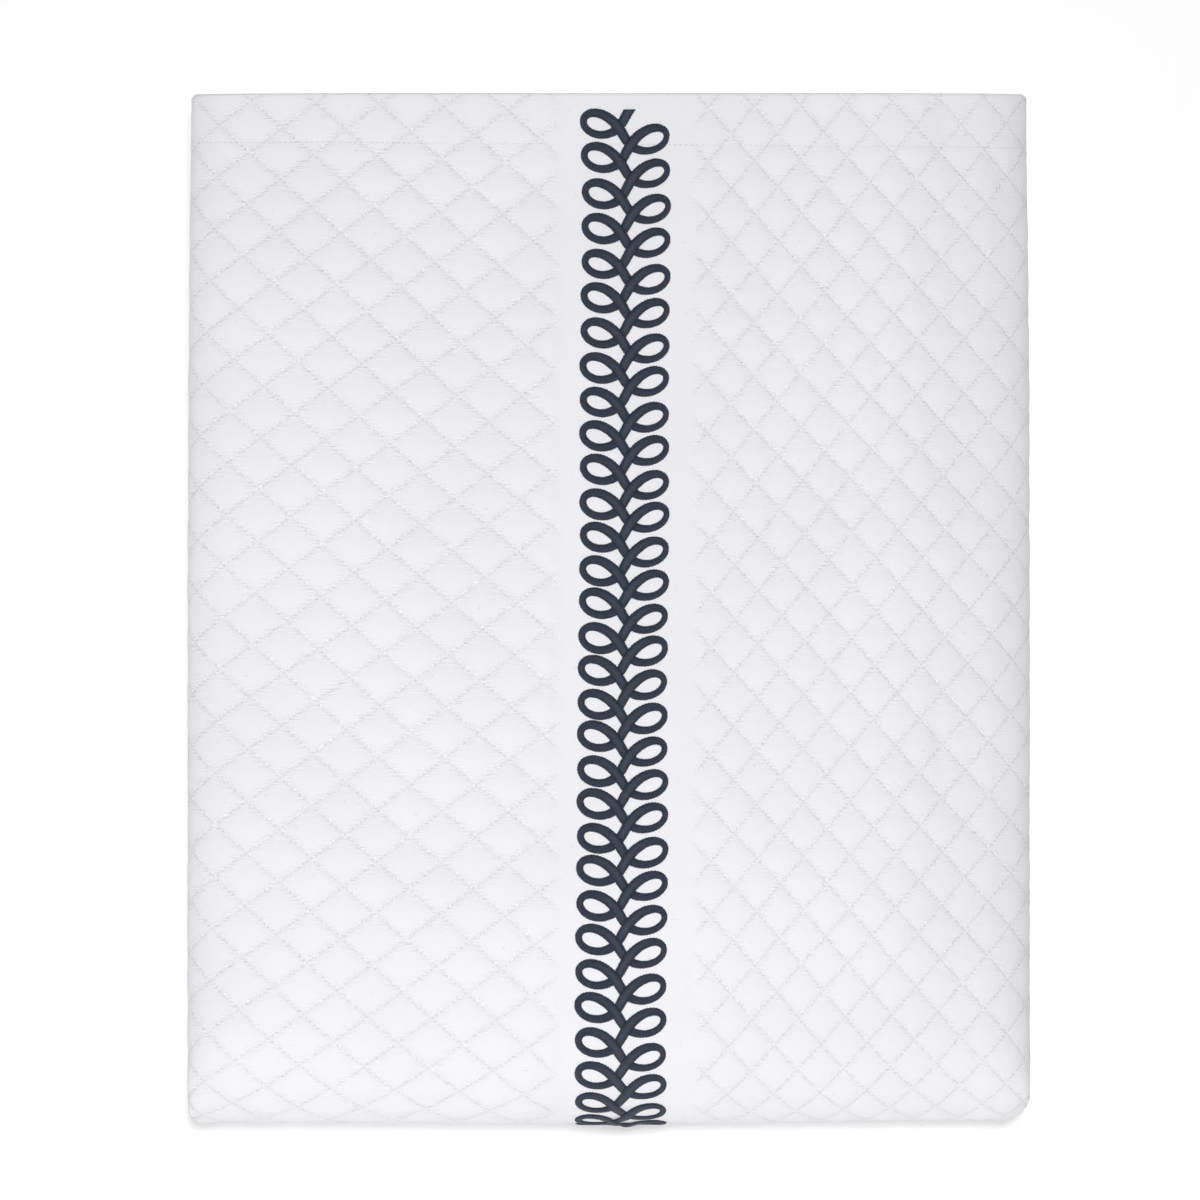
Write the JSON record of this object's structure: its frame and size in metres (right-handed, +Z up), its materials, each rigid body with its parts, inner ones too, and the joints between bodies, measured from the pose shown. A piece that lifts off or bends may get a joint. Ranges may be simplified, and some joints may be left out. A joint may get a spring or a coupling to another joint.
{
  "type": "folded matelasse coverlet",
  "caption": "White diamond-quilted cotton coverlet folded into a soft flat stack, with a navy embroidered band of interlaced loops running down it and round its rounded end.",
  "frame": {"origin": "centre of the stack's footprint, on the surface it lies on", "axes": "+X across the folded face, +Y towards the hemmed end, +Z up"},
  "size_m": [0.5114, 0.6258, 0.1044],
  "materials": {
    "white_cotton": "matt woven cotton with diamond quilting",
    "navy_thread": "satin-stitched thread with a soft sheen"
  },
  "bodies": {
    "root": {"coverlet": "white_cotton", "loop_band": "navy_thread"}
  },
  "joints": []
}
